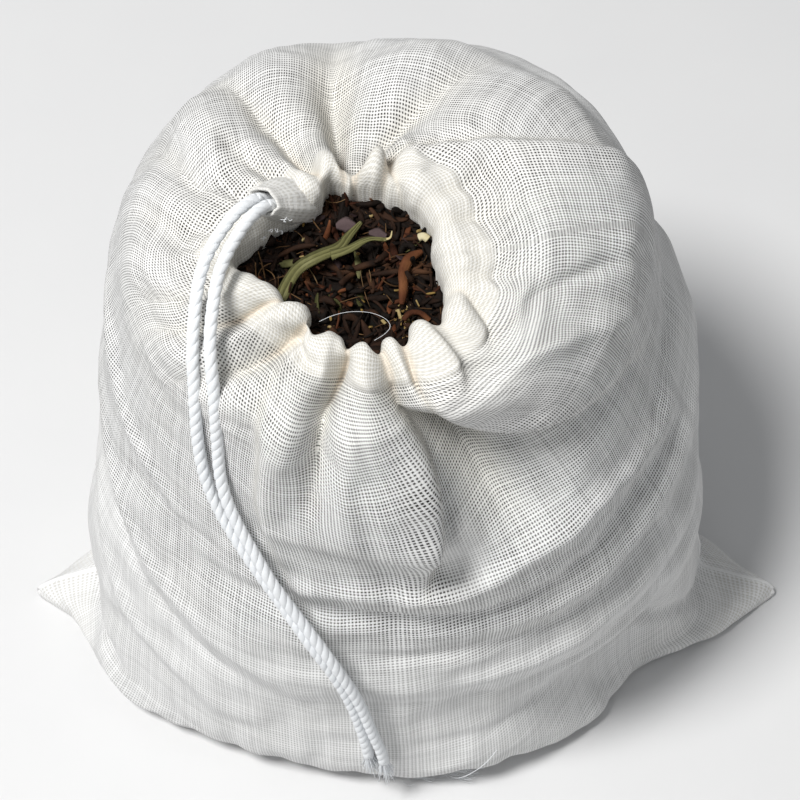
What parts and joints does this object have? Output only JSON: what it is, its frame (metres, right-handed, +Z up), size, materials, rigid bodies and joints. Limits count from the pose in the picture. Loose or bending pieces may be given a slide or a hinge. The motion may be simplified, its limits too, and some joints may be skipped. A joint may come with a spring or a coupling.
{
  "type": "drawstring herb bag",
  "caption": "Filled muslin herb bag with flat bottom corners, a gathered drawstring mouth partly open on dried herbs, and a twisted cotton cord.",
  "frame": {"origin": "middle of the resting base, on the table", "axes": "+Z up, -Y front where the cord tails hang, +X right along the line of the two flat bottom corners"},
  "size_m": [0.1288, 0.0957, 0.1055],
  "materials": {
    "muslin": "open plain weave, matt",
    "casing": "doubled plain weave, matt",
    "seam": "doubled plain weave, matt",
    "cord": "twisted cotton, matt",
    "herb": "shredded, dry",
    "bark": "shredded, dry",
    "leaf": "dry leaf, ribbed",
    "stem": "dry fibre",
    "flower": "dry crumbs"
  },
  "bodies": {
    "bag": {"front_panel": "muslin", "back_panel": "muslin", "left_side_seam": "seam", "right_side_seam": "seam", "bottom_seam": "seam", "herb_core": "herb", "leaf_blade": "leaf", "bark_strips": "bark", "root_shreds": "herb", "stem_pieces": "stem", "peel_chips": "bark", "flower_bits": "flower"},
    "gather_1": {"gather_1": "casing"},
    "gather_2": {"gather_2": "casing"},
    "gather_3": {"gather_3": "casing"},
    "gather_4": {"gather_4": "casing"},
    "gather_5": {"gather_5": "casing"},
    "gather_6": {"gather_6": "casing"},
    "gather_7": {"gather_7": "casing"},
    "gather_8": {"gather_8": "casing"},
    "gather_9": {"gather_9": "casing"},
    "drawstring": {"cord_loop": "cord", "cord_tail_left": "cord", "cord_tail_right": "cord", "cord_end_left": "cord", "cord_end_right": "cord"}
  },
  "joints": [
    {"name": "drawstring_pull", "type": "slide", "parent": "bag", "child": "drawstring", "axis": [-0.4504, -0.6005, 0.6606], "range_m": [0, 0.0157], "deforming": ["cord_loop"]},
    {"name": "gather_1_slide", "type": "slide", "parent": "bag", "child": "gather_1", "axis": [0.999, -0.0436, -0.0093], "range_m": [0, 0.005]},
    {"name": "gather_2_slide", "type": "slide", "parent": "bag", "child": "gather_2", "axis": [0.8258, 0.5517, 0.1173], "range_m": [0, 0.005]},
    {"name": "gather_3_slide", "type": "slide", "parent": "bag", "child": "gather_3", "axis": [0.3219, 0.9261, 0.1969], "range_m": [0, 0.005]},
    {"name": "gather_4_slide", "type": "slide", "parent": "bag", "child": "gather_4", "axis": [-0.3109, 0.9297, 0.1976], "range_m": [0, 0.005]},
    {"name": "gather_5_slide", "type": "slide", "parent": "bag", "child": "gather_5", "axis": [-0.8192, 0.561, 0.1193], "range_m": [0, 0.005]},
    {"name": "gather_6_slide", "type": "slide", "parent": "bag", "child": "gather_6", "axis": [-0.9995, -0.0322, -0.0068], "range_m": [0, 0.005]},
    {"name": "gather_7_slide", "type": "slide", "parent": "bag", "child": "gather_7", "axis": [-0.7796, -0.6126, -0.1302], "range_m": [0, 0.005]},
    {"name": "gather_8_slide", "type": "slide", "parent": "bag", "child": "gather_8", "axis": [-0.2476, -0.9477, -0.2014], "range_m": [0, 0.005]},
    {"name": "gather_9_slide", "type": "slide", "parent": "bag", "child": "gather_9", "axis": [0.3836, -0.9033, -0.192], "range_m": [0, 0.005]}
  ],
  "couplings": [
    {"joint": "gather_1_slide", "follows": "drawstring_pull", "ratio": 0.3183},
    {"joint": "gather_2_slide", "follows": "drawstring_pull", "ratio": 0.3183},
    {"joint": "gather_3_slide", "follows": "drawstring_pull", "ratio": 0.3183},
    {"joint": "gather_4_slide", "follows": "drawstring_pull", "ratio": 0.3183},
    {"joint": "gather_5_slide", "follows": "drawstring_pull", "ratio": 0.3183},
    {"joint": "gather_6_slide", "follows": "drawstring_pull", "ratio": 0.3183},
    {"joint": "gather_7_slide", "follows": "drawstring_pull", "ratio": 0.3183},
    {"joint": "gather_8_slide", "follows": "drawstring_pull", "ratio": 0.3183},
    {"joint": "gather_9_slide", "follows": "drawstring_pull", "ratio": 0.3183}
  ]
}
